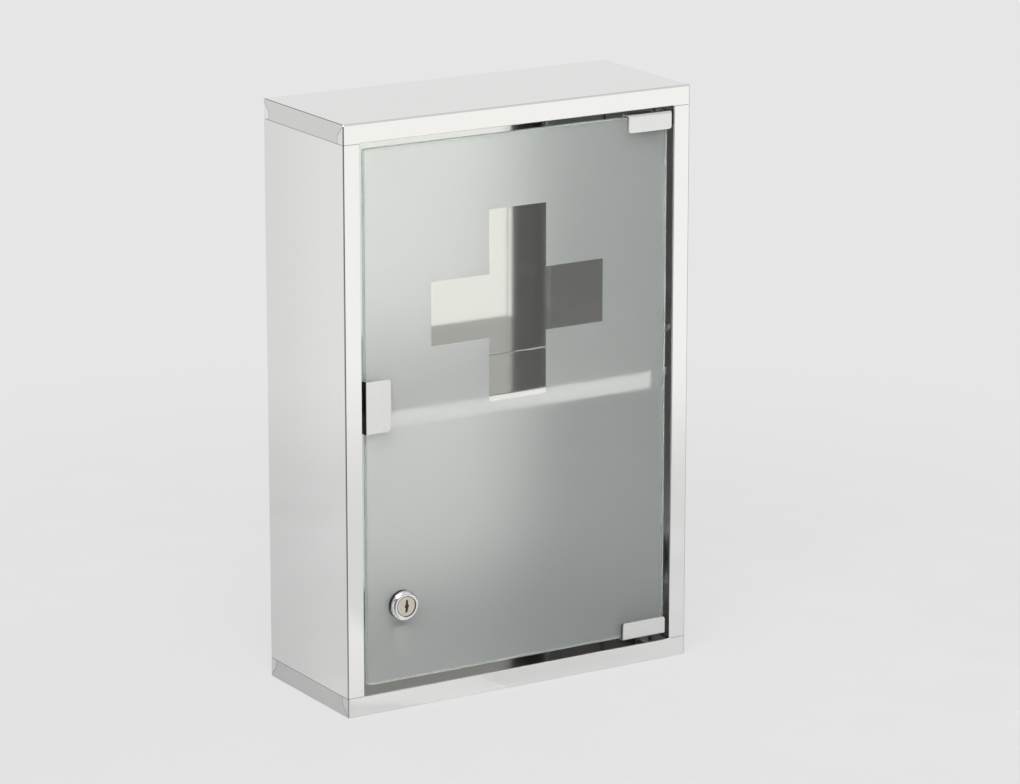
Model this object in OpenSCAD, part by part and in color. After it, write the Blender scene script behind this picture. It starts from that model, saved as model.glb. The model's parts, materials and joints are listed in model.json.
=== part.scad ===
// Lockable wall cabinet of folded stainless sheet with a pivoted frosted glass door.
// X runs to the right across the front, Y from the front to the wall, Z up.
// The origin is the centre of the base, midway between the face frame and the wall.

/* [Cabinet] */
// Overall width across the side panels
cabinet_w = 300; // [260:1:400]
// Overall height over the two caps
cabinet_h = 450; // [380:1:600]
// Depth from the face frame to the wall
cabinet_d = 120; // [100:1:180]
// Thickness of the stainless sheet
sheet_t = 0.8; // [0.6:0.1:1]
// Inside radius of the folds
fold_r = 0.4; // [0.3:0.1:0.8]
// Clearance between a cap and the panel ends inside it
cap_fit = 0.1; // [0.05:0.05:0.2]
// Width of the seam lines between the sheets
seam_w = 0.3; // [0.2:0.1:0.5]

/* [Face frame] */
// Width of each stile
stile_w = 14.5; // [12:0.5:18]
// Depth of the inward return on each stile
return_d = 7; // [5:0.5:8]
// Height of the cap skirts, which form the two rails
skirt_h = 15; // [13:0.5:20]
// Length of the tab folded round each corner of a cap
corner_tab = 8.2; // [6:0.2:12]
// Height on the skirt at which a corner seam turns to 45 degrees
tab_rise = 6; // [3:0.5:7]
// Height of the folded hem behind each rail
hem_h = 6; // [3:0.5:9]

/* [Back] */
// Width of the side panels' rear flanges, which carry the back panel
rear_flange = 12; // [8:0.5:20]
// Distance between the wall fixing holes across the cabinet
wall_pitch_x = 210; // [120:1:230]
// Distance between the wall fixing holes up the cabinet
wall_pitch_z = 350; // [200:1:360]
// Diameter of a wall fixing hole
wall_hole_d = 6; // [4:0.5:8]

/* [Shelf] */
// Height of the shelf's top face above the base
shelf_z = 228.5; // [150:0.5:300]
// Distance from the face frame back to the shelf's lip
shelf_back = 13; // [12.8:0.1:20]
// Height of the lip at the front of the shelf
lip_h = 14; // [10:0.5:20]
// Width of the return under the lip
lip_return = 5; // [3:0.5:8]
// Distance from the cabinet's side to each end of the lip
lip_end = 27; // [20:0.5:40]
// Depth of the notch at each front corner of the shelf
notch_d = 6; // [3:0.5:10]
// Height of the flange at the rear of the shelf
shelf_rear_h = 10; // [6:0.5:16]
// Clearance round the shelf
shelf_fit = 0.3; // [0.2:0.1:0.6]
// Leg of the angle cleats under the shelf
cleat_leg = 9; // [6:0.5:12]
// Thickness of the cleats
cleat_t = 1; // [0.8:0.1:1.5]
// Distance from the back panel to the rear end of a cleat
cleat_rear = 8; // [4:1:20]
// Length of a cleat
cleat_l = 84; // [50:1:90]

/* [Glass door] */
// Thickness of the glass
glass_t = 5; // [4:0.5:6]
// Width of the polished arris along the glass's edges
arris = 0.4; // [0.3:0.1:0.8]
// Radius of the glass's corners
glass_r = 2; // [1:0.5:4]
// Setback of the glass behind the face frame
glass_setback = 0.5; // [0:0.1:1]
// Gap between the glass and the free side's stile
gap_free = 3.2; // [2.5:0.1:5]
// Gap between the glass and the hinge side's stile
gap_hinge = 5.6; // [5:0.1:8]
// Gap between the glass and the upper rail
gap_top = 5; // [4.5:0.1:6]
// Gap between the glass and the lower rail
gap_bottom = 7.6; // [4.5:0.1:9]

/* [Hinge clips] */
// Width of a hinge clip
clip_w = 38; // [30:0.5:50]
// Height of a hinge clip over its web
clip_h = 13.8; // [12:0.1:18]
// Thickness of a hinge clip
clip_t = 1.5; // [1:0.1:1.6]
// Thickness of the rubber liner in a hinge clip
liner_t = 0.5; // [0.3:0.1:0.6]
// Radius of a hinge clip's free corners
clip_r = 2.2; // [1:0.1:4]
// Reach of the top clip past the glass's hinge edge
top_reach = 2.6; // [0:0.1:3]
// Reach of the bottom clip past the glass's hinge edge
bottom_reach = 0.4; // [0:0.1:3]
// Distance between the two grub screws of a hinge clip
grub_pitch = 20; // [14:1:24]
// Diameter of a grub screw
grub_d = 4; // [3:0.5:5]
// Distance a grub screw stands out of its plate
grub_out = 0.6; // [0.2:0.1:1]

/* [Door pivots] */
// Distance from the glass's hinge edge to the pivot axis
pivot_inset = 5.4; // [5:0.1:7]
// Distance from the face frame back to the pivot axis
pivot_back = 5.2; // [5:0.1:5.4]
// Diameter of a pivot pin
pin_d = 3; // [2.5:0.1:3.4]
// Radial clearance of a pivot pin in its bush
pin_fit = 0.05; // [0.02:0.01:0.1]
// Distance a pivot pin reaches past the door opening
pin_past = 3; // [2.5:0.1:5]
// Wall of a pivot bush
bush_wall = 0.9; // [0.7:0.1:1]
// Diameter of a bush's thrust flange
bush_flange_d = 8; // [7:0.1:8.6]
// Gap between a bush and the clip that runs on it
thrust_gap = 0.3; // [0.2:0.1:0.5]
// Thickness of a pivot bracket
bracket_t = 1.5; // [1:0.1:2]
// Width of a pivot bracket
bracket_w = 20; // [14:1:20]
// Distance from the pivot axis back to the bracket's riser
riser_back = 9.2; // [7:0.1:14]
// Length of the bracket's welded flange
weld_flange = 12; // [8:1:20]

/* [Strike clip] */
// Width of the strike clip on the glass
strike_w = 20.5; // [16:0.5:30]
// Height of the strike clip
strike_h = 40; // [36:0.5:50]
// Thickness of the strike clip
strike_t = 0.8; // [0.6:0.1:1]
// Thickness of the strike clip's liner
strike_liner_t = 0.3; // [0.2:0.1:0.4]
// Radius of the strike clip's free corners
strike_r = 3; // [1:0.1:5]
// Distance from the strike clip's ends to its grub screws
strike_grub_in = 5; // [4:0.5:6]

/* [Magnetic catch] */
// Width of the catch housing
catch_w = 24; // [18:0.5:30]
// Height of the catch housing
catch_h = 16; // [12:0.5:18]
// Depth of the catch housing
catch_d = 16; // [14:0.5:20]
// Wall of the catch housing
catch_wall = 1.6; // [1:0.1:2.5]
// Gap between the closed strike and the poles
catch_gap = 0.4; // [0.3:0.1:0.8]
// Distance the poles stand out of the housing
pole_out = 0.5; // [0.3:0.1:1]
// Thickness of a pole plate
pole_t = 1.2; // [0.8:0.1:2]
// Length of the foot behind the housing
foot_l = 8; // [7:0.5:12]
// Thickness of the foot
foot_t = 2.5; // [1.5:0.1:4]
// Distance between the catch's two screws
catch_pitch = 14; // [10:0.5:16]
// Diameter of a catch screw
catch_screw_d = 3; // [2.5:0.1:3.5]
// Length of a catch screw's shank
catch_screw_l = 8; // [6:0.5:12]

/* [Cam lock] */
// Distance from the glass's free edge to the lock axis
lock_inset = 31; // [26:0.5:33]
// Height of the lock axis above the glass's lower edge
lock_rise = 58; // [52:0.5:100]
// Diameter of the threaded barrel
barrel_d = 18; // [17.2:0.1:19]
// Wall of the barrel round the plug
barrel_wall = 2.5; // [2:0.1:3]
// Depth of each flat on the barrel
flat_cut = 1; // [0.5:0.1:1.4]
// Rim of the bezel outside the barrel
bezel_rim = 2.6; // [2:0.1:3]
// Height of the bezel
bezel_h = 3.6; // [3:0.1:5]
// Length of the barrel behind the glass's front face
barrel_l = 13; // [12.5:0.1:13.5]
// Clearance of the barrel in the glass
barrel_fit = 0.3; // [0.2:0.1:0.5]
// Step from the plug out to the edge of its face
plug_lip = 1.5; // [1:0.1:1.7]
// Thickness of the plug's face
plug_face_t = 1.9; // [1.2:0.1:2.2]
// Width of the bevel round the plug's face
plug_bevel = 0.6; // [0.2:0.1:1]
// Depth of the plug's face below the bezel's crest
plug_sunk = 0.6; // [0.3:0.1:1]
// Radial clearance of the plug in the barrel
plug_fit = 0.05; // [0.02:0.01:0.1]
// Gap between the plug's face and the bezel's ring
face_gap = 0.3; // [0.25:0.05:0.4]
// Height of the keyway
keyway_h = 9.6; // [7:0.1:11]
// Width of the keyway
keyway_w = 1.9; // [1.5:0.1:2.6]
// Sideways sway of the keyway's wards
keyway_sway = 0.6; // [0.2:0.1:1]
// Reach of the side groove from the keyway's middle
groove_l = 2.6; // [1.5:0.1:4]
// Depth of the keyway
keyway_depth = 10; // [5:0.5:12]
// Thickness of the gasket under the bezel
gasket_t = 0.4; // [0.2:0.1:0.6]
// Thickness of the washer behind the glass
washer_t = 1; // [0.6:0.1:1.2]
// Rim of the washer outside the barrel
washer_rim = 2.3; // [1.5:0.1:4]
// Thickness of the hexagon nut
nut_h = 4; // [3:0.1:4.5]
// Rim of the hexagon nut outside the barrel, at its flats
nut_rim = 2; // [1.5:0.1:3]

/* [Cam] */
// Length of the cam from the lock axis to its tip
cam_l = 40; // [38:0.5:43]
// Width of the cam
cam_w = 14; // [12:0.5:16]
// Thickness of the cam
cam_t = 2; // [1.5:0.1:2.5]
// Distance from the lock axis to the cam's crank
crank_start = 17; // [16:0.5:20]
// Clearance between the locked cam and the stile's return
cam_gap = 1; // [0.5:0.1:1.5]
// Width of the square boss that turns the cam
boss_w = 7; // [6:0.1:8]
// Clearance of the cam on the boss
boss_fit = 0.1; // [0.05:0.05:0.2]
// Diameter of the cam screw
cam_screw_d = 4; // [3:0.1:4.5]
// Thickness of the washer under the cam screw
cam_washer_t = 0.8; // [0.5:0.1:1.2]

/* [Hidden] */
$fn = 48;
// How far a cutting shape runs past what it cuts
past = 1;
// Middle line of the sheet below its outer face
half_t = sheet_t / 2;
// Radius of a fold at the middle of the sheet, and on its outside
mid_r = fold_r + half_t;
edge_r = fold_r + sheet_t;

// The cabinet's outer faces
side_x = cabinet_w / 2;
front_y = -cabinet_d / 2;
wall_y = cabinet_d / 2;
// The door opening
opening_x = side_x - stile_w;
opening_top = cabinet_h - skirt_h;
mid_z = cabinet_h / 2;
// Inward step of the panel ends that slip inside the caps
step = sheet_t + cap_fit;
// Height of the band in which a panel end steps inward
step_h = 2 * sheet_t;
// Setback of the panel ends from the cabinet's top and base, clear of the caps' folds
end_z = edge_r + cap_fit;
// The back panel's front face
back_y = wall_y - 2 * sheet_t;

// The glass
glass_x0 = -opening_x + gap_free;
glass_x1 = opening_x - gap_hinge;
glass_z0 = skirt_h + gap_bottom;
glass_z1 = opening_top - gap_top;
glass_y0 = front_y + glass_setback;
glass_y1 = glass_y0 + glass_t;

// The door's pivot axis
pivot_x = glass_x1 - pivot_inset;
pivot_y = front_y + pivot_back;
// Outer face of the top hinge clip's web
web_z = glass_z1 + liner_t + clip_t;
bush_d = pin_d + 2 * (pin_fit + bush_wall);
bush_grip = 2;
bracket_x0 = pivot_x - bracket_w / 2;

// The strike clip's middle lies level with the catch on the shelf
strike_z = shelf_z + catch_h / 2;
strike_back_y = glass_y1 + strike_liner_t + strike_t;
strike_x1 = glass_x0 + strike_w;
strike_mid_x = glass_x0 + strike_w / 2;
// Its grub screws above and below the middle
strike_grub_z = strike_h / 2 - strike_grub_in;
pole_y = strike_back_y + catch_gap;
catch_y = pole_y + pole_out;
foot_y = catch_y + catch_d + foot_l / 2;

// The lock, with each diameter taken from the barrel's
bezel_d = barrel_d + 2 * bezel_rim;
plug_d = barrel_d - 2 * barrel_wall;
plug_face_d = plug_d + 2 * plug_lip;
washer_d = barrel_d + 2 * washer_rim;
nut_af = barrel_d + 2 * nut_rim;
lock_x = glass_x0 + lock_inset;
lock_z = glass_z0 + lock_rise;
ring_r = plug_face_d / 2 + face_gap;
face_z = gasket_t + bezel_h - plug_sunk;
// Front faces of the cam's hub and tip, measured forward from the glass's front face
hub_z = -barrel_l - cap_fit;
tip_z = glass_y0 - (front_y + return_d + cam_gap);

// ---- folded sheet, drawn as its section along a middle line of square bends ----
function heading(a, b) = (b - a) / norm(b - a);

module leg(a, b, t) {
    across = abs(b.x - a.x) < abs(b.y - a.y) ? [t, 0] : [0, t];
    translate([min(a.x, b.x), min(a.y, b.y)] - across / 2)
        square([abs(b.x - a.x), abs(b.y - a.y)] + across);
}

module bend(corner, way_in, way_out, t, r) {
    away = way_in - way_out;
    reach = r + t;
    translate(corner - away * r)
        intersection() {
            difference() {
                circle(r + t / 2);
                circle(r - t / 2);
            }
            translate([min(0, away.x), min(0, away.y)] * reach)
                square(reach);
        }
}

module fold(path, t = sheet_t, r = mid_r) {
    last = len(path) - 1;
    for (i = [0 : last - 1]) {
        way = heading(path[i], path[i + 1]);
        start = path[i] + way * (i > 0 ? r : 0);
        end = path[i + 1] - way * (i < last - 1 ? r : 0);
        leg(start, end, t);
    }
    for (i = [1 : last - 1])
        bend(path[i], heading(path[i - 1], path[i]), heading(path[i], path[i + 1]), t, r);
}

// Draws a section given in (Y, Z) along X, from x0 over a length
module along_x(x0, length) {
    translate([x0, 0, 0])
        rotate([90, 0, 90])
            linear_extrude(length)
                children();
}

// What hangs from the top, turned over to the same place at the bottom
module at_bottom() {
    translate([0, 0, 2 * mid_z])
        mirror([0, 0, 1])
            children();
}

// What sits on the glass's upper edge, turned over to its lower edge
module at_lower_edge() {
    translate([0, 0, glass_z0 + glass_z1])
        mirror([0, 0, 1])
            children();
}

// ---- case ----
module side_panel() {
    wall_x = -side_x + half_t;
    face_y = front_y + half_t;
    return_x = -opening_x - half_t;
    rear_y = wall_y - half_t;
    z0 = skirt_h + seam_w;
    main_h = cabinet_h - 2 * z0;
    // The panel between the caps, with its face flange, return and rear flange
    translate([0, 0, z0])
        linear_extrude(main_h)
            fold([
                [return_x, front_y + return_d],
                [return_x, face_y],
                [wall_x, face_y],
                [wall_x, rear_y],
                [-side_x + rear_flange, rear_y]
            ]);
    // The stepped ends that slip inside the caps
    for (end = [0, 1])
        translate([0, 0, end * cabinet_h])
            mirror([0, 0, end]) {
                translate([0, 0, end_z])
                    linear_extrude(z0 + step_h - end_z)
                        fold([
                            [return_x - sheet_t, face_y + step],
                            [wall_x + step, face_y + step],
                            [wall_x + step, back_y - cap_fit]
                        ]);
                translate([0, 0, z0])
                    linear_extrude(step_h)
                        fold([
                            [return_x - sheet_t, face_y + step / 2],
                            [wall_x + step / 2, face_y + step / 2],
                            [wall_x + step / 2, back_y - cap_fit]
                        ], sheet_t + step, mid_r + step / 2);
            }
}

module left_side_panel() {
    color("gainsboro") side_panel();
}

module right_side_panel() {
    color("gainsboro") mirror([1, 0, 0]) side_panel();
}

module back_panel() {
    // It lies between the stepped panel ends, in front of the rear flanges
    panel_w = cabinet_w - 2 * (sheet_t + step + cap_fit);
    panel_h = cabinet_h - 2 * end_z;
    color("silver")
        difference() {
            translate([-panel_w / 2, back_y, end_z])
                cube([panel_w, sheet_t, panel_h]);
            for (x = [-1, 1], z = [-1, 1])
                translate([x * wall_pitch_x / 2, back_y - past, mid_z + z * wall_pitch_z / 2])
                    rotate([-90, 0, 0])
                        cylinder(d = wall_hole_d, h = sheet_t + 2 * past);
        }
}

// A block with round upright edges and a round rim on top, open at z = 0
module round_block(w, d, h, r) {
    in_x = w / 2 - r;
    in_y = d / 2 - r;
    translate([-w / 2, -in_y, 0])
        cube([w, 2 * in_y, h - r]);
    translate([-in_x, -d / 2, 0])
        cube([2 * in_x, d, h - r]);
    translate([-in_x, -in_y, 0])
        cube([2 * in_x, 2 * in_y, h]);
    for (x = [-1, 1], y = [-1, 1])
        translate([x * in_x, y * in_y, 0]) {
            cylinder(r = r, h = h - r);
            translate([0, 0, h - r])
                sphere(r);
        }
    for (y = [-1, 1])
        translate([-in_x, y * in_y, h - r])
            rotate([0, 90, 0])
                cylinder(r = r, h = 2 * in_x);
    for (x = [-1, 1])
        translate([x * in_x, in_y, h - r])
            rotate([90, 0, 0])
                cylinder(r = r, h = 2 * in_y);
}

// The cut line between a corner tab and the side skirt, in (Y, Z) from the corner
module corner_seam() {
    slant = corner_tab - edge_r;
    translate([corner_tab - seam_w / 2, -past])
        square([seam_w, tab_rise + past]);
    translate([corner_tab, tab_rise]) {
        circle(d = seam_w, $fn = 24);
        rotate(45)
            translate([-seam_w / 2, 0])
                square([seam_w, slant * sqrt(2)]);
    }
}

// A pressed cap with its skirt edge at z = 0 and its top at z = skirt_h
module cap() {
    hem_w = 2 * (opening_x - seam_w);
    difference() {
        round_block(cabinet_w, cabinet_d, skirt_h, edge_r);
        translate([0, 0, -past])
            round_block(cabinet_w - 2 * sheet_t, cabinet_d - 2 * sheet_t, skirt_h - sheet_t + past, fold_r);
        // Corner tabs folded round from the front and rear skirts
        for (x = [0, 1], y = [0, 1])
            mirror([x, 0, 0])
                mirror([0, y, 0])
                    translate([0, front_y, 0])
                        along_x(-side_x - past, sheet_t + fold_r + past)
                            corner_seam();
        // Room for the rolled edge of the hem
        translate([-hem_w / 2, front_y - past, -past])
            cube([hem_w, past + sheet_t, past + sheet_t]);
    }
    // The rail's edge is rolled over and closed to a hem behind it
    translate([-hem_w / 2, front_y + sheet_t, sheet_t])
        rotate([0, 90, 0])
            cylinder(r = sheet_t, h = hem_w);
    translate([-hem_w / 2, front_y + sheet_t, sheet_t])
        cube([hem_w, sheet_t, hem_h - sheet_t]);
}

module top_cap() {
    color("whitesmoke") translate([0, 0, opening_top]) cap();
}

module bottom_cap() {
    color("whitesmoke") at_bottom() translate([0, 0, opening_top]) cap();
}

// ---- shelf ----
module shelf() {
    front = front_y + shelf_back + half_t;
    rear = back_y - shelf_fit - half_t;
    top = shelf_z - half_t;
    half_w = side_x - sheet_t - shelf_fit;
    lip_w = cabinet_w - 2 * lip_end;
    color("lightgray")
        difference() {
            along_x(-half_w, 2 * half_w)
                fold([
                    [front + lip_return, shelf_z - lip_h + half_t],
                    [front, shelf_z - lip_h + half_t],
                    [front, top],
                    [rear, top],
                    [rear, shelf_z - shelf_rear_h]
                ]);
            // The lip stops short of the stiles and of the door's hinge edge
            for (x = [-1, 1])
                translate([x * (lip_w + past) / 2 + (x - 1) * half_w / 2, front - past, shelf_z - lip_h])
                    translate([0, 0, -past])
                        cube([half_w, notch_d + past, lip_h + 2 * past]);
            for (x = [-1, 1])
                translate([strike_mid_x + x * catch_pitch / 2, foot_y, shelf_z - sheet_t - past])
                    cylinder(d = catch_screw_d + 2 * cap_fit, h = sheet_t + 2 * past);
        }
}

module shelf_cleat() {
    top = shelf_z - sheet_t;
    wall = -side_x + sheet_t;
    mid = cleat_t / 2;
    color("darkgray")
        translate([0, back_y - cleat_rear, 0])
            rotate([90, 0, 0])
                linear_extrude(cleat_l)
                    fold([
                        [wall + mid, top - cleat_leg],
                        [wall + mid, top - mid],
                        [wall + cleat_leg, top - mid]
                    ], cleat_t, fold_r + mid);
}

module left_shelf_cleat() {
    shelf_cleat();
}

module right_shelf_cleat() {
    mirror([1, 0, 0]) shelf_cleat();
}

// ---- pivots ----
module pivot_bracket() {
    foot = opening_top + bracket_t / 2;
    riser = pivot_y + riser_back;
    top = cabinet_h - sheet_t - bracket_t / 2;
    rail_y = front_y + 2 * sheet_t + cap_fit;
    color("gray")
        difference() {
            along_x(bracket_x0, bracket_w)
                fold([
                    [rail_y, foot],
                    [riser, foot],
                    [riser, top],
                    [riser + weld_flange, top]
                ], bracket_t, fold_r + bracket_t / 2);
            translate([pivot_x, pivot_y, opening_top - past])
                cylinder(d = bush_d + 2 * cap_fit, h = bracket_t + 2 * past);
        }
}

// A bush in the upper bracket for a door that hangs this gap below the rail
module pivot_bush(gap) {
    flange_z = opening_top - gap + liner_t + clip_t + thrust_gap;
    color("dimgray")
        translate([pivot_x, pivot_y, 0])
            difference() {
                union() {
                    translate([0, 0, flange_z])
                        cylinder(d = bush_flange_d, h = opening_top - flange_z);
                    translate([0, 0, flange_z])
                        cylinder(d = bush_d, h = opening_top + bracket_t + bush_grip - flange_z);
                }
                translate([0, 0, flange_z - past])
                    cylinder(d = pin_d + 2 * pin_fit, h = cabinet_h - flange_z);
            }
}

// A pin through the upper clip's web, for a door with this gap to the rail
module pivot_pin(gap) {
    tip = pin_d / 8;
    length = gap - liner_t + pin_past;
    color("silver")
        translate([pivot_x, pivot_y, web_z - clip_t]) {
            cylinder(d = pin_d, h = length - tip);
            translate([0, 0, length - tip])
                cylinder(d1 = pin_d, d2 = pin_d - 2 * tip, h = tip);
        }
}

module top_pivot_bracket() {
    pivot_bracket();
}

module bottom_pivot_bracket() {
    at_bottom() pivot_bracket();
}

module top_pivot_bush() {
    pivot_bush(gap_top);
}

module bottom_pivot_bush() {
    at_bottom() pivot_bush(gap_bottom);
}

module top_pivot_pin() {
    pivot_pin(gap_top);
}

module bottom_pivot_pin() {
    at_lower_edge() pivot_pin(gap_bottom);
}

// ---- magnetic catch on the shelf ----
magnet_w = catch_w - 2 * (catch_wall + cap_fit);
magnet_h = catch_h - 2 * (catch_wall + pole_t + cap_fit);
magnet_d = catch_d - catch_wall - cap_fit;

module catch_housing() {
    color("white")
        difference() {
            translate([strike_mid_x - catch_w / 2, catch_y, shelf_z]) {
                cube([catch_w, catch_d, catch_h]);
                cube([catch_w, catch_d + foot_l, foot_t]);
            }
            translate([strike_mid_x - catch_w / 2 + catch_wall, catch_y - past, shelf_z + catch_wall])
                cube([catch_w - 2 * catch_wall, catch_d - catch_wall + past, catch_h - 2 * catch_wall]);
            for (x = [-1, 1])
                translate([strike_mid_x + x * catch_pitch / 2, foot_y, shelf_z - past])
                    cylinder(d = catch_screw_d + 2 * cap_fit, h = foot_t + 2 * past);
        }
}

module catch_magnet() {
    color("darkslategray")
        translate([strike_mid_x - magnet_w / 2, catch_y + cap_fit, strike_z - magnet_h / 2])
            cube([magnet_w, magnet_d - cap_fit, magnet_h]);
}

module catch_pole_plates() {
    color("slategray")
        for (up = [0, 1])
            translate([strike_mid_x - magnet_w / 2, pole_y, strike_z])
                mirror([0, 0, up])
                    translate([0, 0, magnet_h / 2])
                        cube([magnet_w, magnet_d + pole_out, pole_t]);
}

// A round-headed screw with a cross recess, standing on z = 0 with its shank below
module round_screw(d, length) {
    head_d = 2 * d;
    head_h = 0.6 * d;
    dome_r = (head_d * head_d / 4 + head_h * head_h) / (2 * head_h);
    slot_w = d / 5;
    translate([0, 0, -length])
        cylinder(d = d, h = length);
    difference() {
        intersection() {
            translate([0, 0, head_h - dome_r])
                sphere(dome_r);
            cylinder(d = head_d + past, h = head_h);
        }
        for (turn = [0, 90])
            rotate(turn)
                translate([-d / 2, -slot_w / 2, head_h / 2])
                    cube([d, slot_w, head_h]);
    }
}

module catch_screws() {
    color("silver")
        for (x = [-1, 1])
            translate([strike_mid_x + x * catch_pitch / 2, foot_y, shelf_z + foot_t])
                round_screw(catch_screw_d, catch_screw_l);
}

// ---- glass door ----
// A rectangle w by t, from the origin, with its corners cut at 45 degrees
module arrised(w, t) {
    polygon([
        [arris, 0], [w - arris, 0], [w, arris], [w, t - arris],
        [w - arris, t], [arris, t], [0, t - arris], [0, arris]
    ]);
}

module round_rect(w, h, r) {
    translate([r, 0])
        square([w - 2 * r, h]);
    translate([0, r])
        square([w, h - 2 * r]);
    for (x = [r, w - r], y = [r, h - r])
        translate([x, y])
            circle(r);
}

module glass_door() {
    w = glass_x1 - glass_x0;
    h = glass_z1 - glass_z0;
    color("lightcyan", 0.6)
        difference() {
            translate([glass_x0, glass_y0, glass_z0])
                intersection() {
                    linear_extrude(h)
                        arrised(w, glass_t);
                    along_x(0, w)
                        arrised(glass_t, h);
                    translate([0, glass_t, 0])
                        rotate([90, 0, 0])
                            linear_extrude(glass_t)
                                round_rect(w, h, glass_r);
                }
            translate([lock_x, glass_y0 - past, lock_z])
                rotate([-90, 0, 0])
                    cylinder(d = barrel_d + 2 * barrel_fit, h = glass_t + 2 * past);
        }
}

// A plate with two round corners at its lower edge, in (X, Z) below z = 0
module round_plate(w, h, r) {
    translate([-w / 2, -h + r])
        square([w, h - r]);
    translate([-w / 2 + r, -h])
        square([w - 2 * r, r]);
    for (x = [-1, 1])
        translate([x * (w / 2 - r), -h + r])
            circle(r);
}

// A channel of sheet folded over the top of the glass, with its web's outer face at z = 0
module edge_channel(w, h, t, slot, r) {
    in_r = t > 2 * fold_r ? fold_r : t / 4;
    half = slot / 2 + t / 2;
    intersection() {
        translate([-w / 2, 0, 0])
            rotate([90, 0, 90])
                linear_extrude(w)
                    fold([[-half, -h], [-half, -t / 2], [half, -t / 2], [half, -h]], t, in_r + t / 2);
        rotate([90, 0, 0])
            linear_extrude(2 * (slot + 2 * t), center = true)
                round_plate(w, h, r);
    }
}

glass_mid_y = (glass_y0 + glass_y1) / 2;
grub_z = web_z - (clip_h + clip_t) / 2;

module hinge_clip(reach) {
    mid_x = glass_x1 + reach - clip_w / 2;
    color("silver")
        difference() {
            translate([mid_x, glass_mid_y, web_z])
                edge_channel(clip_w, clip_h, clip_t, glass_t + 2 * liner_t, clip_r);
            translate([pivot_x, pivot_y, web_z - clip_t - past])
                cylinder(d = pin_d + 2 * pin_fit, h = clip_t + 2 * past);
            for (x = [-1, 1])
                translate([mid_x + x * grub_pitch / 2, glass_y1, grub_z])
                    rotate([-90, 0, 0])
                        cylinder(d = grub_d + 2 * cap_fit, h = liner_t + clip_t + past);
        }
}

module clip_liner(reach) {
    mid_x = glass_x1 + reach - clip_w / 2;
    liner_w = clip_w - 2 * max(reach, clip_r / 2);
    color("dimgray")
        translate([mid_x, glass_mid_y, glass_z1 + liner_t])
            edge_channel(liner_w, clip_h - 2 * clip_t, liner_t, glass_t, clip_r / 2);
}

module top_hinge_clip() {
    hinge_clip(top_reach);
}

module bottom_hinge_clip() {
    at_lower_edge() hinge_clip(bottom_reach);
}

module top_clip_liner() {
    clip_liner(top_reach);
}

module bottom_clip_liner() {
    at_lower_edge() clip_liner(bottom_reach);
}

// A grub screw along Y with a hexagon socket in its rear end
module grub_screw(length) {
    socket_d = grub_d / 2;
    rotate([-90, 0, 0])
        difference() {
            cylinder(d = grub_d, h = length);
            translate([0, 0, length / 2])
                cylinder(d = socket_d, h = length, $fn = 6);
        }
}

module hinge_grub_row(reach) {
    mid_x = glass_x1 + reach - clip_w / 2;
    for (x = [-1, 1])
        translate([mid_x + x * grub_pitch / 2, glass_y1 + liner_t, grub_z])
            grub_screw(clip_t + grub_out);
}

module hinge_grub_screws() {
    color("gray") {
        hinge_grub_row(top_reach);
        at_lower_edge() hinge_grub_row(bottom_reach);
    }
}

// ---- strike clip ----
// Turns what is drawn over the top edge of the glass onto its free side edge
module at_free_edge(out) {
    translate([glass_x0 - out, glass_mid_y, strike_z])
        rotate([0, -90, 0])
            children();
}

module strike_clip() {
    color("silver")
        difference() {
            at_free_edge(strike_liner_t + strike_t)
                edge_channel(strike_h, strike_w + strike_liner_t + strike_t, strike_t,
                    glass_t + 2 * strike_liner_t, strike_r);
            for (z = [-1, 1])
                translate([strike_mid_x, glass_y1, strike_z + z * strike_grub_z])
                    rotate([-90, 0, 0])
                        cylinder(d = grub_d + 2 * cap_fit, h = strike_liner_t + strike_t + past);
        }
}

module strike_liner() {
    color("dimgray")
        at_free_edge(strike_liner_t)
            edge_channel(strike_h - strike_r, strike_w - strike_r, strike_liner_t, glass_t, strike_r / 2);
}

module strike_grub_screws() {
    color("gray")
        for (z = [-1, 1])
            translate([strike_mid_x, glass_y1 + strike_liner_t, strike_z + z * strike_grub_z])
                grub_screw(strike_t + grub_out);
}

// ---- cam lock, drawn forward from the glass's front face ----
module at_lock() {
    translate([lock_x, glass_y0, lock_z])
        rotate([90, 0, 0])
            children();
}

module lock_barrel() {
    crest = gasket_t + bezel_h;
    ring_w = bezel_d / 2 - ring_r;
    shoulder_r = min(ring_w, bezel_h);
    color("gainsboro")
        at_lock()
            difference() {
                union() {
                    // The bezel's ring has a round outer shoulder
                    rotate_extrude() {
                        difference() {
                            translate([ring_r, gasket_t])
                                square([ring_w, bezel_h]);
                            translate([bezel_d / 2, crest] - [shoulder_r, shoulder_r])
                                difference() {
                                    square(shoulder_r + past);
                                    circle(shoulder_r);
                                }
                        }
                        translate([plug_d / 2, gasket_t])
                            square([ring_r - plug_d / 2, face_z - plug_face_t - gasket_t]);
                    }
                    difference() {
                        translate([0, 0, -barrel_l])
                            cylinder(d = barrel_d, h = barrel_l + face_z - plug_face_t);
                        // Flats on the thread behind the glass
                        for (x = [-1, 1])
                            translate([x * (barrel_d / 2 - flat_cut) + (x - 1) * past, -barrel_d / 2, 0])
                                translate([0, 0, -barrel_l - past])
                                    cube([2 * past, barrel_d, barrel_l - glass_t - washer_t + past]);
                    }
                }
                translate([0, 0, -barrel_l - past])
                    cylinder(d = plug_d + 2 * plug_fit, h = barrel_l + crest + 2 * past);
                translate([0, 0, face_z - plug_face_t - plug_fit])
                    cylinder(r = ring_r, h = bezel_h);
            }
}

module lock_gasket() {
    color("dimgray")
        at_lock()
            difference() {
                cylinder(d = bezel_d - 2 * gasket_t, h = gasket_t);
                translate([0, 0, -past])
                    cylinder(d = barrel_d + barrel_fit, h = gasket_t + 2 * past);
            }
}

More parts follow.
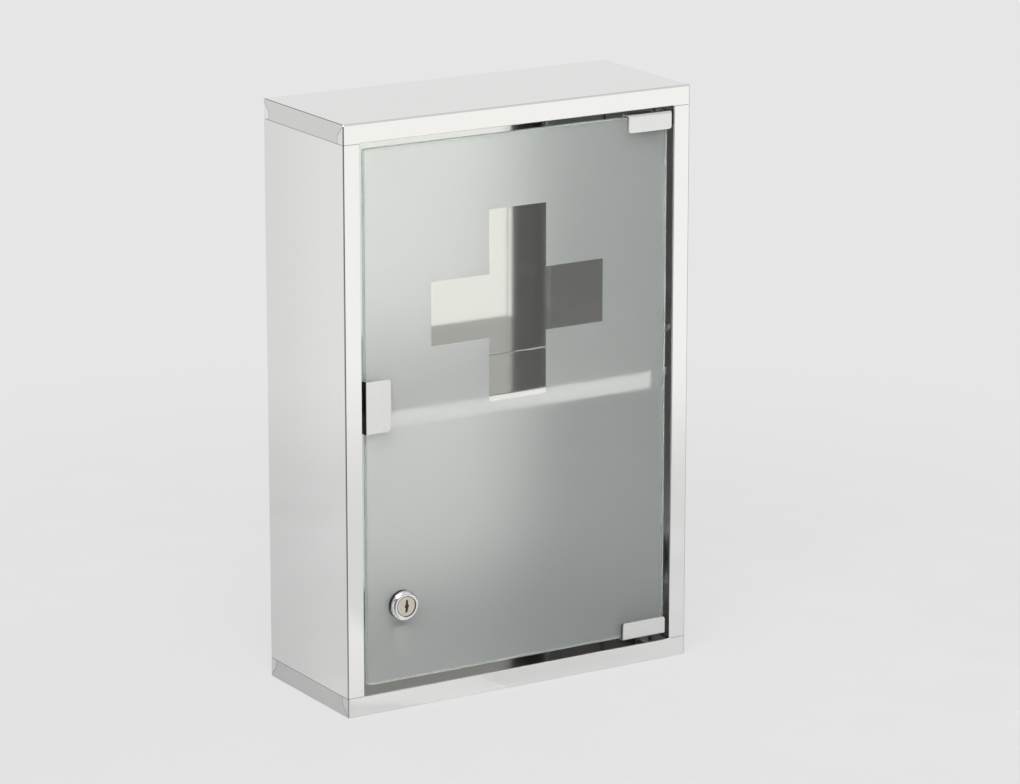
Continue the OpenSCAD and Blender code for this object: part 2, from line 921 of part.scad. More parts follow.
module lock_washer() {
    color("whitesmoke")
        at_lock()
            translate([0, 0, -glass_t - washer_t])
                difference() {
                    cylinder(d = washer_d, h = washer_t);
                    translate([0, 0, -past])
                        cylinder(d = barrel_d + barrel_fit, h = washer_t + 2 * past);
                }
}

module lock_nut() {
    color("silver")
        at_lock()
            translate([0, 0, -glass_t - washer_t - nut_h])
                difference() {
                    cylinder(d = nut_af / cos(30), h = nut_h, $fn = 6);
                    translate([0, 0, -past])
                        cylinder(d = barrel_d + 2 * cap_fit, h = nut_h + 2 * past);
                }
}

// The keyway snakes round its wards, and its middle has a pointed groove at one side
module keyway_outline() {
    end = keyway_h / 2;
    turn = keyway_h / 6;
    half = keyway_w / 2;
    polygon([
        [keyway_sway + half, end], [keyway_sway + half, turn], [groove_l, 0],
        [keyway_sway + half, -turn], [half, -end], [-half, -end],
        [keyway_sway - half, -turn], [-keyway_sway - half, 0],
        [keyway_sway - half, turn], [keyway_sway - half, end]
    ]);
}

module lock_plug() {
    rear = hub_z - cam_t;
    color("wheat")
        at_lock()
            difference() {
                union() {
                    translate([0, 0, face_z - plug_face_t])
                        cylinder(d = plug_face_d, h = plug_face_t - plug_bevel / 2);
                    translate([0, 0, face_z - plug_bevel / 2])
                        cylinder(d1 = plug_face_d, d2 = plug_face_d - 2 * plug_bevel, h = plug_bevel / 2);
                    translate([0, 0, hub_z])
                        cylinder(d = plug_d, h = face_z - plug_face_t - hub_z);
                    translate([-boss_w / 2, -boss_w / 2, rear])
                        cube([boss_w, boss_w, cam_t]);
                }
                translate([0, 0, face_z - keyway_depth])
                    linear_extrude(keyway_depth + past)
                        keyway_outline();
                translate([0, 0, rear - past])
                    cylinder(d = cam_screw_d, h = cam_t + past + cam_screw_d / 2);
            }
}

module lock_cam() {
    mid = hub_z - cam_t / 2;
    tip = tip_z - cam_t / 2;
    hub_r = cam_w / 2;
    color("lightsteelblue")
        at_lock()
            difference() {
                intersection() {
                    // The lever's section, cranked forward past the nut
                    translate([-hub_r, 0, 0])
                        rotate([90, 0, 90])
                            linear_extrude(cam_w)
                                fold([
                                    [hub_r, mid],
                                    [-crank_start, mid],
                                    [-crank_start, tip],
                                    [-cam_l, tip]
                                ], cam_t, fold_r + cam_t / 2);
                    // Its outline, with a round hub and a narrower round tip
                    translate([0, 0, rear_of_cam()])
                        linear_extrude(barrel_l)
                            cam_outline(hub_r);
                }
                translate([-boss_w / 2 - boss_fit, -boss_w / 2 - boss_fit, hub_z - cam_t - past])
                    cube([boss_w + 2 * boss_fit, boss_w + 2 * boss_fit, cam_t + 2 * past]);
            }
}

function rear_of_cam() = hub_z - cam_t;

module cam_outline(hub_r) {
    tip_r = hub_r * 0.75;
    circle(hub_r);
    translate([-hub_r, -crank_start - cam_t])
        square([cam_w, crank_start + cam_t]);
    translate([-tip_r, -cam_l + tip_r])
        square([2 * tip_r, cam_l - tip_r]);
    translate([0, -cam_l + tip_r])
        circle(tip_r);
}

module cam_washer() {
    color("silver")
        at_lock()
            translate([0, 0, rear_of_cam() - cam_washer_t])
                difference() {
                    cylinder(d = boss_w + 3 * cam_t, h = cam_washer_t);
                    translate([0, 0, -past])
                        cylinder(d = cam_screw_d + 2 * boss_fit, h = cam_washer_t + 2 * past);
                }
}

module cam_screw() {
    color("silver")
        at_lock()
            translate([0, 0, rear_of_cam() - cam_washer_t])
                mirror([0, 0, 1])
                    round_screw(cam_screw_d - 2 * plug_fit, cam_washer_t + cam_t);
}

left_side_panel();
right_side_panel();
back_panel();
top_cap();
bottom_cap();
shelf();
left_shelf_cleat();
right_shelf_cleat();
top_pivot_bracket();
bottom_pivot_bracket();
top_pivot_bush();
bottom_pivot_bush();
catch_housing();
catch_magnet();
catch_pole_plates();
catch_screws();
glass_door();
top_hinge_clip();
bottom_hinge_clip();
top_clip_liner();
bottom_clip_liner();
hinge_grub_screws();
top_pivot_pin();
bottom_pivot_pin();
strike_clip();
strike_liner();
strike_grub_screws();
lock_barrel();
lock_gasket();
lock_washer();
lock_nut();
lock_plug();
lock_cam();
cam_washer();
cam_screw();
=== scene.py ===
import json
import math

import bpy
from mathutils import Matrix, Vector


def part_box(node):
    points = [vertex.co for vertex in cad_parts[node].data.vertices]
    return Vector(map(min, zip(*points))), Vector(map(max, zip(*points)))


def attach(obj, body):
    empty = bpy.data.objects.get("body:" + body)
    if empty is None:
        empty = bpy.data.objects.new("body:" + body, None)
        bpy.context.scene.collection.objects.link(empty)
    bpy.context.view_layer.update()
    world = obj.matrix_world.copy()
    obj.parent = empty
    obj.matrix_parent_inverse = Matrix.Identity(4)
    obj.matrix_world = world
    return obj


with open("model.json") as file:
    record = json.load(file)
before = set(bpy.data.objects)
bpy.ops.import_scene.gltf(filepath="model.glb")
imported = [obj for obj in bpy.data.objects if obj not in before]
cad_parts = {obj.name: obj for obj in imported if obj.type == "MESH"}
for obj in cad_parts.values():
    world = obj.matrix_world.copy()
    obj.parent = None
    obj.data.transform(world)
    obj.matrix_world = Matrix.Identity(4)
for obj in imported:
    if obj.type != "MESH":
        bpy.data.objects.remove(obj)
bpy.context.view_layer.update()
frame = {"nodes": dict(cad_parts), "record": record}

nodes = frame["nodes"]

# ---- shader maths -------------------------------------------------------------------------------------------------

MM = 0.001


class Wire:
    """One output of a shader node. Adding, multiplying and comparing wires adds Math nodes."""

    def __init__(self, bench, socket):
        self.bench = bench
        self.socket = socket

    def _math(self, operation, *values):
        return self.bench.node("ShaderNodeMath", {"operation": operation}, dict(enumerate(values)))

    def __add__(self, other):
        return self._math("ADD", self, other)

    def __radd__(self, other):
        return self._math("ADD", other, self)

    def __sub__(self, other):
        return self._math("SUBTRACT", self, other)

    def __rsub__(self, other):
        return self._math("SUBTRACT", other, self)

    def __mul__(self, other):
        return self._math("MULTIPLY", self, other)

    def __rmul__(self, other):
        return self._math("MULTIPLY", other, self)

    def __truediv__(self, other):
        return self._math("DIVIDE", self, other)

    def __rtruediv__(self, other):
        return self._math("DIVIDE", other, self)

    def __pow__(self, other):
        return self._math("POWER", self, other)

    def __gt__(self, other):
        return self._math("GREATER_THAN", self, other)

    def __lt__(self, other):
        return self._math("LESS_THAN", self, other)

    def __abs__(self):
        return self._math("ABSOLUTE", self)

    def largest(self, other):
        return self._math("MAXIMUM", self, other)


class Bench:
    """The node tree of one material or of the world."""

    def __init__(self, owner):
        owner.use_nodes = True
        self.tree = owner.node_tree
        self.tree.nodes.clear()

    def node(self, kind, settings=None, sockets=None, output=0):
        """Any node, from its type, its settings, and the values or wires of its sockets."""
        made = self.tree.nodes.new(kind)
        for name, value in (settings or {}).items():
            setattr(made, name, value)
        for name, value in (sockets or {}).items():
            socket = made.inputs[name]
            if isinstance(value, Wire):
                self.tree.links.new(value.socket, socket)
            elif socket.type == "RGBA" and len(value) == 3:
                socket.default_value = (*value, 1.0)
            else:
                socket.default_value = value
        return Wire(self, made.outputs[output])

    def place(self):
        """The point on the surface, in the shared frame and at rest."""
        return self.node("ShaderNodeTexCoord", output="Object")

    def axes(self, vector):
        split = self.node("ShaderNodeSeparateXYZ", None, {0: vector})
        outputs = split.socket.node.outputs
        return [Wire(self, outputs[i]) for i in range(3)]

    def scaled(self, vector, scale):
        return self.node("ShaderNodeVectorMath", {"operation": "MULTIPLY"}, {0: vector, 1: scale})

    def noise(self, vector, scale, detail=2.0, roughness=0.5):
        sockets = {"Vector": vector, "Scale": scale, "Detail": detail, "Roughness": roughness}
        return self.node("ShaderNodeTexNoise", {"noise_dimensions": "3D"}, sockets)

    def blend(self, factor, low, high):
        """The colour low where factor is 0, high where it is 1, and a mix between."""
        return self.node("ShaderNodeMix", {"data_type": "RGBA"}, {0: factor, 6: low, 7: high}, output=2)

    def smooth(self, value, low, high):
        """0 below low, 1 above high, and an S-curve between."""
        sockets = {"Value": value, "From Min": low, "From Max": high}
        return self.node("ShaderNodeMapRange", {"interpolation_type": "SMOOTHSTEP"}, sockets)

    def bump(self, height, distance, strength, under=None):
        sockets = {"Height": height, "Distance": distance, "Strength": strength}
        if under is not None:
            sockets["Normal"] = under
        return self.node("ShaderNodeBump", None, sockets)

    def finish(self, shader, target="ShaderNodeOutputMaterial"):
        out = self.tree.nodes.new(target)
        self.tree.links.new(shader.socket, out.inputs["Surface"])


def material(name, make):
    made = bpy.data.materials.new(name)
    bench = Bench(made)
    bench.finish(make(bench))
    return made


def principled(bench, **sockets):
    return bench.node("ShaderNodeBsdfPrincipled", None, {k.replace("_", " "): v for k, v in sockets.items()})


# ---- finishes -----------------------------------------------------------------------------------------------------

STEEL = (0.93, 0.93, 0.92)
INNER_STEEL = (0.915, 0.91, 0.885)
CLIP_STEEL = (0.86, 0.86, 0.85)
ZINC = (0.50, 0.50, 0.49)
SEAM_SHADE = (0.10, 0.10, 0.10)        # painted shade on the panels' tucked-in ends, so the seams show dark
WEB_SHADE = (0.06, 0.06, 0.06)        # painted shade on a clip's web deep in the gap beside the glass
# painted light on the shelf: the lip a touch brighter as a highlight, the top darker as shade
SHELF_LIP = (0.97, 0.97, 0.95)
SHELF_LIP_LINES = (0.94, 0.94, 0.92)
SHELF_TOP_SHADE = (0.79, 0.785, 0.77)

# Shares of a finish's tone
LINE_SHARE = 0.965                   # the rolled lines
WALL_SHADE_SHARE = 0.86                    # painted shade, towards the wall
INNER_SHADE_SHARE = 0.33                   # painted shade inside the side panels
FOLD_SHADE_SHARE = 0.45                    # painted shade along the tight folds at the front corners
# painted shade: the pivot brackets in the gaps are coloured dark
BRACKET_SHADE_SHARE = 0.30

OUTER_GLOSS, INNER_GLOSS, SHELF_GLOSS = 0.11, 0.07, 0.08       # roughness of the sheet

ON_FACE = 0.1 * MM                   # a point this near to a face is on it
SKIRT = 15 * MM                      # height of the caps' skirts
FOLD_WIDTH = 0.9 * MM                # width of the painted dark line at a front corner
RIM_RADIUS = 0.35 * MM               # softening of the clips' cut rims
CORNER_TAB = 8.2 * MM                # length of the tab folded round each corner of a cap
TAB_RISE = 6 * MM                    # height at which a tab's seam turns to 45 degrees
case_low, case_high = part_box("top_cap")


def rolled(bench, gloss):
    """Roughness, lines and normal of bright-rolled sheet: faint lines up the sheet and a few soft smears."""
    here = bench.place()
    lines = bench.noise(bench.scaled(here, (900.0, 900.0, 6.0)), 1.0, 3.0, 0.6)
    smear = bench.noise(bench.scaled(here, (9.0, 9.0, 5.0)), 1.0, 2.0, 0.5)
    rough = gloss + (lines - 0.5) * 0.05 + ((smear - 0.45) * 0.10).largest(0.0)
    return rough, lines, bench.bump(lines, 0.00002, 0.12)


def shade(tone, share):
    return [c * share for c in tone]


def sheet_steel(tone, gloss):
    """Bright-rolled sheet of one tone."""

    def make(bench):
        rough, lines, normal = rolled(bench, gloss)
        colour = bench.blend(lines, shade(tone, LINE_SHARE), tone)
        return principled(bench, Base_Color=colour, Metallic=1.0, Roughness=rough, Normal=normal)

    return make


def fold_shade_line(x, y):
    """The tight fold at each front corner, where a fine dark line is painted as shade."""
    return (abs(x) > case_high.x - FOLD_WIDTH) * (y < case_low.y + FOLD_WIDTH)


def shade_toward_wall(bench, y):
    """Painted shade: the sheet is painted a little darker towards the wall."""
    return bench.smooth(y, case_low.y, case_high.y) * 0.75


def panel_steel(bench):
    """A side panel: bright sheet, its tucked-in ends rougher and painted dark as shade; painted shade also inside,
    along the front folds and towards the wall.
    """
    x, y, z = bench.axes(bench.place())
    rough, lines, normal = rolled(bench, OUTER_GLOSS)
    colour = bench.blend(lines, shade(STEEL, LINE_SHARE), STEEL)
    outside = abs(x) > case_high.x - ON_FACE
    # Painted shade: the outer face darkens towards the wall.
    colour = bench.blend(shade_toward_wall(bench, y) * outside, colour, shade(STEEL, WALL_SHADE_SHARE))
    # Painted shade: the panel's inside is coloured much darker than its steel.
    inside = (abs(x) < case_high.x - 0.5 * MM) * (y > case_low.y + 0.5 * MM) * (y < case_high.y - 0.3 * MM)
    colour = bench.blend(inside, colour, shade(STEEL, INNER_SHADE_SHARE))
    # Painted shade: a fine dark line along the front folds.
    colour = bench.blend(fold_shade_line(x, y), colour, shade(STEEL, FOLD_SHADE_SHARE))
    # Painted shade: the tucked-in ends are coloured dark, so the seams between panel and caps show as dark lines.
    top = z > case_low.z - 1.0 * MM
    base = z < case_high.z - case_low.z + 1.0 * MM
    shaded_end = inside * top.largest(base)
    colour = bench.blend(shaded_end, colour, SEAM_SHADE)
    return principled(bench, Base_Color=colour, Metallic=1.0, Roughness=rough + shaded_end * 0.4, Normal=normal)


def shelf_steel(bench):
    """The shelf: its lip is bright like the rest of the inside, a touch brighter as a painted highlight, and its
    upper side is painted darker as shade.
    """
    x, y, z = bench.axes(bench.place())
    rough, lines, normal = rolled(bench, SHELF_GLOSS)
    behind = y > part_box("shelf")[0].y + 1.0 * MM
    colour = bench.blend(lines, SHELF_LIP_LINES, SHELF_LIP)
    colour = bench.blend(behind, colour, SHELF_TOP_SHADE)
    return principled(bench, Base_Color=colour, Metallic=1.0, Roughness=rough, Normal=normal)


def cap_steel(height_of, skirt_shade_share, front_tab_shade_share, rear_tab_shade_share, inside_shade_share):
    """A pressed cap. Its side skirts are painted a little darker than the panels as shade, and its corner tabs less
    so; its inside is painted darker as shade too.
    """

    def make(bench):
        x, y, z = bench.axes(bench.place())
        rough, lines, normal = rolled(bench, OUTER_GLOSS)
        colour = bench.blend(lines, shade(STEEL, LINE_SHARE), STEEL)
        side = abs(x) > case_high.x - ON_FACE
        height = height_of(z)        # on the skirt, from its edge to the fold
        reach = ((height - TAB_RISE).largest(0.0) - CORNER_TAB) * -1.0
        front_tab = (y - case_low.y) < reach
        rear_tab = ((y - case_high.y) * -1.0) < reach
        skirt = side * (1.0 - front_tab) * (1.0 - rear_tab)
        # Painted shade: the cap's sides darken towards the wall.
        colour = bench.blend(shade_toward_wall(bench, y) * side, colour, shade(STEEL, WALL_SHADE_SHARE))
        # Painted shade: the skirts and tabs are darker than the panels, by the shares given.
        colour = bench.blend(skirt, colour, shade(STEEL, skirt_shade_share))
        colour = bench.blend(side * front_tab, colour, shade(STEEL, front_tab_shade_share))
        colour = bench.blend(side * rear_tab, colour, shade(STEEL, rear_tab_shade_share))
        # Painted shade: a fine dark line along the front folds.
        colour = bench.blend(fold_shade_line(x, y), colour, shade(STEEL, FOLD_SHADE_SHARE))
        # Painted shade: the cap's inside is coloured darker.
        inside = (abs(x) < case_high.x - 2.0 * MM) * (y > case_low.y + 1.5 * MM) * (y < case_high.y - 1.5 * MM)
        inside = inside * (height > -SKIRT) * (height < SKIRT - 0.5 * MM)
        colour = bench.blend(inside, colour, shade(STEEL, inside_shade_share))
        return principled(bench, Base_Color=colour, Metallic=1.0, Roughness=rough, Normal=normal)

    return make


def brushed(tone, along, web=None):
    """Fine grain along one axis, for the clips. What lies below the X named web is deep in the gap and is painted
    dark as shade.
    """
    stretch = [2600.0, 2600.0, 2600.0]
    stretch["xyz".index(along)] = 40.0

    def make(bench):
        here = bench.place()
        grain = bench.noise(bench.scaled(here, tuple(stretch)), 1.0, 3.0, 0.65)
        patch = bench.noise(here, 120.0, 2.0, 0.5)
        colour = bench.blend(grain, shade(tone, 0.90), tone)
        if web is not None:
            # Painted shade: the web deep in the gap is coloured near black.
            colour = bench.blend(bench.axes(here)[0] < web, colour, WEB_SHADE)
        soft_rims = bench.node("ShaderNodeBevel", {"samples": 6}, {"Radius": RIM_RADIUS})
        return principled(
            bench, Base_Color=colour, Metallic=1.0, Roughness=0.30 + (grain - 0.5) * 0.16 + (patch - 0.5) * 0.06,
            Normal=bench.bump(grain, 0.00003, 0.25, soft_rims),
        )

    return make


def plated(tone, gloss):
    """Plated metal, with a fine haze."""

    def make(bench):
        here = bench.place()
        haze = bench.noise(here, 420.0, 3.0, 0.6)
        return principled(
            bench, Base_Color=bench.blend(haze, shade(tone, 0.93), tone), Metallic=1.0,
            Roughness=gloss + (haze - 0.5) * 0.06, Normal=bench.bump(haze, 0.00002, 0.1),
        )

    return make


def moulded(tone, gloss, speck=0.06):
    """Moulded rubber, plastic or ferrite. speck is the share by which its patches darken."""

    def make(bench):
        here = bench.place()
        fine = bench.noise(here, 2400.0, 2.0, 0.5)
        patch = bench.noise(here, 70.0, 2.0, 0.5)
        return principled(
            bench, Base_Color=bench.blend(patch, shade(tone, 1.0 - speck), tone),
            Roughness=gloss + (patch - 0.5) * 0.1, Normal=bench.bump(fine, 0.00003, 0.35),
        )

    return make


pane_low, pane_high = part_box("glass_door")
CROSS_X, CROSS_Z = -0.0001, 0.2997
CROSS_REACH_X, CROSS_REACH_Z = 0.0749, 0.0733      # from the middle to the ends of the arms and of the upright
ARM_HALF, UPRIGHT_HALF = 0.0243, 0.0248            # half the arms' height and half the upright's width
CLEAR, CUT_EDGE = (0.985, 0.992, 0.98), (0.75, 0.86, 0.82)
MILK, MILK_SHARE = (0.89, 0.945, 0.93), 0.38       # the etching's own scatter, seen through the glass
FROST_ROUGH, FROST_MORE = 0.30, 0.25               # the etching from outside, and what is added through the glass
EDGE_ROUGH = 0.25


def pane_glass(bench):
    """The pane: a smooth front, an etched rear face and a cross left clear in the etching."""
    here = bench.place()
    x, y, z = bench.axes(here)
    rear = y > pane_high.y - 0.2 * MM
    across = abs(x - CROSS_X)
    up = abs(z - CROSS_Z)
    upright = (across < UPRIGHT_HALF) * (up < CROSS_REACH_Z)
    arms = (across < CROSS_REACH_X) * (up < ARM_HALF)
    clear = upright.largest(arms)
    etch = bench.noise(here, 3000.0, 2.0, 0.6)
    frost = rear * (1.0 - clear)
    edge = (x < pane_low.x + ON_FACE).largest(x > pane_high.x - ON_FACE)
    edge = edge.largest(z > pane_high.z - ON_FACE).largest(z < pane_low.z + ON_FACE)
    within = bench.node("ShaderNodeNewGeometry", output="Backfacing")
    rough = frost * (FROST_ROUGH + within * FROST_MORE + (etch - 0.5) * 0.05) + edge * EDGE_ROUGH
    glass = principled(
        bench, Base_Color=bench.blend(edge, CLEAR, CUT_EDGE), Roughness=rough, IOR=1.5, Transmission_Weight=1.0,
    )
    milk = bench.node("ShaderNodeBsdfDiffuse", None, {"Color": MILK})
    return bench.node("ShaderNodeMixShader", None, {0: frost * within * MILK_SHARE, 1: glass, 2: milk})


PLUG_NICKEL, PLUG_NICKEL_HAZE, PLUG_RIM_SHADE = (0.80, 0.76, 0.67), (0.62, 0.57, 0.47), (0.36, 0.34, 0.30)
PLUG_RIM_WIDTH = 0.7 * MM


def key_plug(bench):
    """Satin nickel, turned: fine rings round the plug's axis, and a darker rim painted as the shade of its bevel."""
    low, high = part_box("lock_plug")
    mid = (low + high) / 2
    here = bench.place()
    x, y, z = bench.axes(here)
    radius = ((x - mid.x) ** 2.0 + (z - mid.z) ** 2.0) ** 0.5
    rings = bench.noise(bench.node("ShaderNodeCombineXYZ", None, {0: radius * 9000.0}), 1.0, 2.0, 0.5)
    haze = bench.noise(here, 600.0, 2.0, 0.5)
    face = bench.blend(haze, PLUG_NICKEL_HAZE, PLUG_NICKEL)
    # Painted shade: the outer ring of the plug's face is darker.
    rim = radius > (high.x - low.x) / 2 - PLUG_RIM_WIDTH
    return principled(
        bench, Base_Color=bench.blend(rim, face, PLUG_RIM_SHADE), Metallic=1.0,
        Roughness=0.26 + (rings - 0.5) * 0.2, Normal=bench.bump(rings, 0.00002, 0.3),
    )


finishes = {
    "case_steel": material("case_steel", sheet_steel(STEEL, OUTER_GLOSS)),
    "inner_steel": material("inner_steel", sheet_steel(INNER_STEEL, INNER_GLOSS)),
    "frosted_glass": material("frosted_glass", pane_glass),
    "clip_steel": material("clip_steel", brushed(CLIP_STEEL, "z")),
    "liner_rubber": material("liner_rubber", moulded((0.05, 0.05, 0.05), 0.7)),
    "bush_nylon": material("bush_nylon", moulded((0.04, 0.04, 0.04), 0.5)),
    "catch_plastic": material("catch_plastic", moulded((0.80, 0.80, 0.77), 0.42)),
    "ferrite": material("ferrite", moulded((0.05, 0.05, 0.055), 0.6, 0.3)),
    "screw_steel": material("screw_steel", plated((0.74, 0.74, 0.73), 0.2)),
    "lock_chrome": material("lock_chrome", plated((0.95, 0.95, 0.95), 0.10)),
    "plug_nickel": material("plug_nickel", key_plug),
}
slot_of = {part["node"]: part["material_slot"] for part in frame["record"]["subparts"]}
own_finish = {      # nodes with a finish of their own
    "left_side_panel": material("panel_steel", panel_steel),
    # the caps' shares are painted shade; the bottom cap's are darker still
    "top_cap": material("top_cap_steel", cap_steel(lambda z: z - case_low.z, 0.80, 0.93, 0.97, 0.35)),
    "bottom_cap": material("bottom_cap_steel", cap_steel(lambda z: (z - SKIRT) * -1.0, 0.71, 0.80, 0.86, 0.46)),
    "shelf": material("shelf_steel", shelf_steel),
    "strike_clip": material("strike_steel", brushed(CLIP_STEEL, "z", web=pane_low.x - 0.4 * MM)),
    "lock_cam": material("zinc_plate", plated(ZINC, 0.25)),
    # painted shade: the pivot brackets are darkened so the gaps look black
    "top_pivot_bracket": material("bracket_steel", sheet_steel(shade(STEEL, BRACKET_SHADE_SHARE), 0.30)),
}
own_finish["right_side_panel"] = own_finish["left_side_panel"]
own_finish["bottom_pivot_bracket"] = own_finish["top_pivot_bracket"]
for name, obj in nodes.items():
    for spot in obj.material_slots:
        spot.material = own_finish.get(name) or finishes[slot_of[name]]

# ---- pieces too fine for the solids -------------------------------------------------------------------------------

BARREL_RADIUS = 9.0 * MM
FLAT_HALF = 8.0 * MM         # from the barrel's axis to each of its flats
THREAD_PITCH = 1.0 * MM
THREAD_HEIGHT = 0.22 * MM
THREAD_STEPS = 64            # sections in one turn
THREAD_FADE = 8.0            # the ridge rises over one part in so many of its length, and runs out over another
RIDGE_HALF = 0.4             # half the ridge's width at its foot, in pitches
FOOT = -0.1                  # how far out its foot stands, in thread heights


def barrel_thread():
    """The ridge of the thread that shows behind the nut, cut away along the barrel's two flats."""
    barrel_high, nut_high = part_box("lock_barrel")[1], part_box("lock_nut")[1]
    washer_low, washer_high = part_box("lock_washer")
    axis_x, axis_z = (washer_low.x + washer_high.x) / 2, (washer_low.z + washer_high.z) / 2
    start, end = nut_high.y + THREAD_PITCH / 2, barrel_high.y - THREAD_PITCH / 2
    steps = int((end - start) / THREAD_PITCH * THREAD_STEPS)
    points, faces = [], []
    for i in range(steps + 1):
        turn = 2.0 * math.pi * i / THREAD_STEPS
        fade = min(1.0, THREAD_FADE * i / steps, THREAD_FADE * (steps - i) / steps)
        y = start + THREAD_PITCH * i / THREAD_STEPS
        for across, out in ((-RIDGE_HALF, FOOT), (0.0, fade), (RIDGE_HALF, FOOT)):
            r = BARREL_RADIUS + out * THREAD_HEIGHT
            x = max(-FLAT_HALF, min(FLAT_HALF, r * math.cos(turn)))
            points.append((axis_x + x, y + across * THREAD_PITCH, axis_z + r * math.sin(turn)))
    for i in range(steps):
        for j in range(3):
            k = (j + 1) % 3
            faces.append((3 * i + j, 3 * i + k, 3 * i + 3 + k, 3 * i + 3 + j))
    faces += [(2, 1, 0), (3 * steps, 3 * steps + 1, 3 * steps + 2)]
    mesh = bpy.data.meshes.new("barrel_thread")
    mesh.from_pydata(points, [], faces)
    mesh.validate()
    piece = bpy.data.objects.new("barrel_thread", mesh)
    bpy.context.scene.collection.objects.link(piece)
    mesh.materials.append(finishes[slot_of["lock_barrel"]])
    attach(piece, "door")


barrel_thread()

# ---- studio -------------------------------------------------------------------------------------------------------

BACKDROP = (0.791, 0.791, 0.791)
FLOOR_RADIUS = 1.1
FLOOR_SIDES = 128
FLOOR_GLOW = 0.86                                  # the backdrop's share in the floor, near the object
MIRRORED_GLOW = 0.30                               # the same in what metal mirrors and glass lets through
# painted light: the floor's paint is lighter to the right and behind, standing in for more light there
FLOOR_PAINT, FLOOR_PAINT_LIGHTER, FLOOR_MOTTLE = (0.38, 0.38, 0.38), (0.76, 0.76, 0.76), (0.46, 0.46, 0.46)
UNLIT_X, LIT_X, FRONT_Y = -0.52, 0.52, -0.854      # the level directions of the unlit and the lit side

WALL_LEFT, WALL_RIGHT = (0.815, 0.815, 0.815), (0.775, 0.785, 0.805)
LIT_LOW, LIT_HIGH = (0.96, 0.955, 0.93), (0.42, 0.42, 0.415)
FAR_RIGHT, UNLIT = (0.34, 0.34, 0.34), (0.20, 0.20, 0.20)
CEILING_FRONT, CEILING_DIM, CEILING_TOP = (0.80, 0.80, 0.79), (0.18, 0.18, 0.19), (0.66, 0.66, 0.67)


def sides_of_room(bench, x, y):
    """How far a direction points to the unlit side of the room, and how far to the lit side, seen from above."""
    level = (x ** 2.0 + y ** 2.0 + 0.0001) ** 0.5
    unlit = bench.smooth((x * UNLIT_X + y * FRONT_Y) / level, 0.80, 0.95)
    lit = bench.smooth((x * LIT_X + y * FRONT_Y) / level, -0.1, 0.6)
    return unlit, lit


def rays(bench):
    """One number for what the camera sees directly, and one for what metal mirrors or glass lets through."""
    seen, mirrored, through = [
        bench.node("ShaderNodeLightPath", output=name)
        for name in ("Is Camera Ray", "Is Glossy Ray", "Is Transmission Ray")
    ]
    return seen, mirrored.largest(through) * (1.0 - seen)


def floor_paint(bench):
    """A pale floor, which keeps the object's shadow and fades into the backdrop, sooner on the unlit side."""
    here = bench.place()
    x, y, z = bench.axes(here)
    reach = (x ** 2.0 + y ** 2.0) ** 0.5
    unlit, lit = sides_of_room(bench, x, y)
    away = bench.smooth(reach, 0.35, FLOOR_RADIUS * 0.95)
    gone = bench.smooth(reach + unlit * 0.60, 0.45, FLOOR_RADIUS * 0.98)
    mottle = bench.noise(here, 14.0, 3.0, 0.5)
    # Painted light: the paint is lighter to the right and towards the back, standing in for more light there.
    painted_paler = bench.smooth(x, -0.15, 0.35).largest(bench.smooth(y, 0.05, 0.45))
    paint = bench.blend(painted_paler, FLOOR_PAINT, FLOOR_PAINT_LIGHTER)
    matt = principled(bench, Base_Color=bench.blend(mottle, paint, FLOOR_MOTTLE), Roughness=0.9)
    glow = bench.node("ShaderNodeEmission", None, {"Color": BACKDROP, "Strength": 1.0})
    clear = bench.node("ShaderNodeBsdfTransparent")
    seen, mirrored = rays(bench)
    glowing = seen * (FLOOR_GLOW + away * (1.0 - FLOOR_GLOW)) + mirrored * MIRRORED_GLOW
    solid = bench.node("ShaderNodeMixShader", None, {0: glowing, 1: matt, 2: glow})
    return bench.node("ShaderNodeMixShader", None, {0: gone * (1.0 - seen), 1: solid, 2: clear})


def floor():
    mesh = bpy.data.meshes.new("studio_floor")
    turns = [2.0 * math.pi * i / FLOOR_SIDES for i in range(FLOOR_SIDES)]
    rim = [(FLOOR_RADIUS * math.cos(turn), FLOOR_RADIUS * math.sin(turn), 0.0) for turn in turns]
    mesh.from_pydata(rim, [], [tuple(range(FLOOR_SIDES))])
    obj = bpy.data.objects.new("studio_floor", mesh)
    bpy.context.scene.collection.objects.link(obj)
    mesh.materials.append(material("floor_paint", floor_paint))


def softbox(name, place, target, size, power):
    lamp = bpy.data.lights.new(name, "AREA")
    lamp.shape = "RECTANGLE"
    lamp.size, lamp.size_y = size
    lamp.energy = power
    obj = bpy.data.objects.new(name, lamp)
    obj.location = place
    obj.rotation_mode = "QUATERNION"
    obj.rotation_quaternion = (Vector(target) - Vector(place)).to_track_quat("-Z", "Y")
    bpy.context.scene.collection.objects.link(obj)


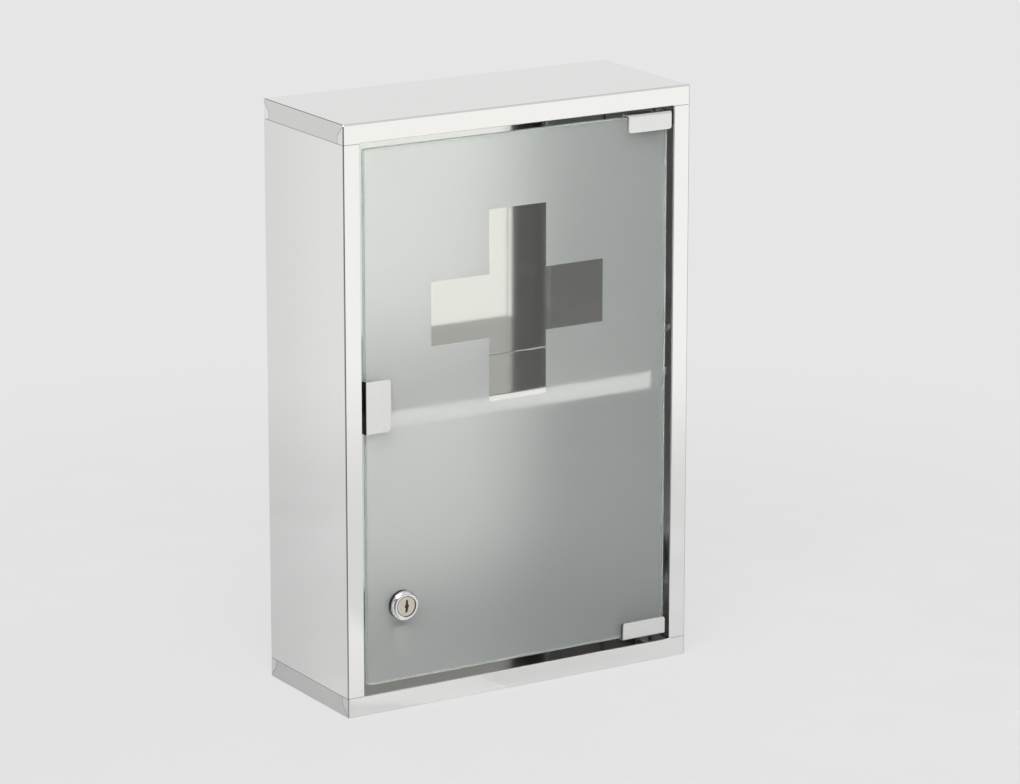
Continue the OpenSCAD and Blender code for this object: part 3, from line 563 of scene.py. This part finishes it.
def sky(bench):
    """Pale walls, one side lit and one unlit, a dim band overhead, and the plain backdrop for the camera.

    Metal and glass show the backdrop's own tone where the wall is neither lit nor unlit.
    """
    x, y, z = bench.axes(bench.node("ShaderNodeTexCoord", output="Generated"))
    unlit, lit = sides_of_room(bench, x, y)
    up = bench.smooth(z, 0.30, 0.50)
    seen, mirrored = rays(bench)
    wall = bench.blend(bench.smooth(x, -0.4, 0.4), WALL_LEFT, WALL_RIGHT)
    wall = bench.blend(mirrored, wall, BACKDROP)
    wall = bench.blend(lit, wall, bench.blend(bench.smooth(z, 0.02, 0.20), LIT_LOW, LIT_HIGH))
    wall = bench.blend(bench.smooth(x, 0.90, 0.98), wall, FAR_RIGHT)
    wall = bench.blend(unlit, wall, UNLIT)
    ceiling = bench.blend(bench.smooth(y, -0.45, -0.15), CEILING_FRONT, CEILING_DIM)
    ceiling = bench.blend(bench.smooth(z, 0.55, 0.75), ceiling, CEILING_TOP)
    ceiling = bench.blend(unlit * bench.smooth(z, 0.75, 0.55), ceiling, UNLIT)
    colour = bench.blend(up, wall, ceiling)
    room = bench.node("ShaderNodeBackground", None, {"Color": colour, "Strength": 1.0})
    plain = bench.node("ShaderNodeBackground", None, {"Color": BACKDROP, "Strength": 1.0})
    return bench.node("ShaderNodeMixShader", None, {0: seen, 1: room, 2: plain})


scene = bpy.context.scene
world = bpy.data.worlds.new("studio")
scene.world = world
studio = Bench(world)
studio.finish(sky(studio), "ShaderNodeOutputWorld")
floor()
softbox("key_softbox", (-0.40, -0.50, 0.85), (-0.02, -0.06, 0.35), (0.45, 0.45), 10.0)
softbox("overhead_softbox", (-0.30, 0.25, 2.0), (-0.30, 0.25, 0.0), (1.0, 1.0), 4.0)

# ---- camera, fitted to the case's corners in the photograph -------------------------------------------------------

LENS, SENSOR = 160.25, 36.0                        # mm
YAW, ELEVATION = math.radians(31.433), math.radians(14.721)
TO_RIGHT, TO_TOP, TO_EYE = 0.02362, -0.00707, 3.44776      # from the case's centre
ahead = Vector((math.sin(YAW) * math.cos(ELEVATION), math.cos(YAW) * math.cos(ELEVATION), -math.sin(ELEVATION)))
right = Vector((math.cos(YAW), -math.sin(YAW), 0.0))
above = right.cross(ahead)
case_centre = Vector((0.0, 0.0, case_high.z / 2))
eye = case_centre + right * TO_RIGHT + above * TO_TOP - ahead * TO_EYE
view = bpy.data.cameras.new("photo_camera")
view.lens = LENS
view.sensor_width = SENSOR
view.clip_start, view.clip_end = 0.1, 60.0
camera = bpy.data.objects.new("photo_camera", view)
camera.matrix_world = Matrix.Translation(eye) @ Matrix((right, above, -ahead)).transposed().to_4x4()
scene.collection.objects.link(camera)
scene.camera = camera

scene.view_settings.view_transform = "Standard"
scene.cycles.max_bounces = 20
scene.cycles.glossy_bounces = 12
scene.cycles.transmission_bounces = 16
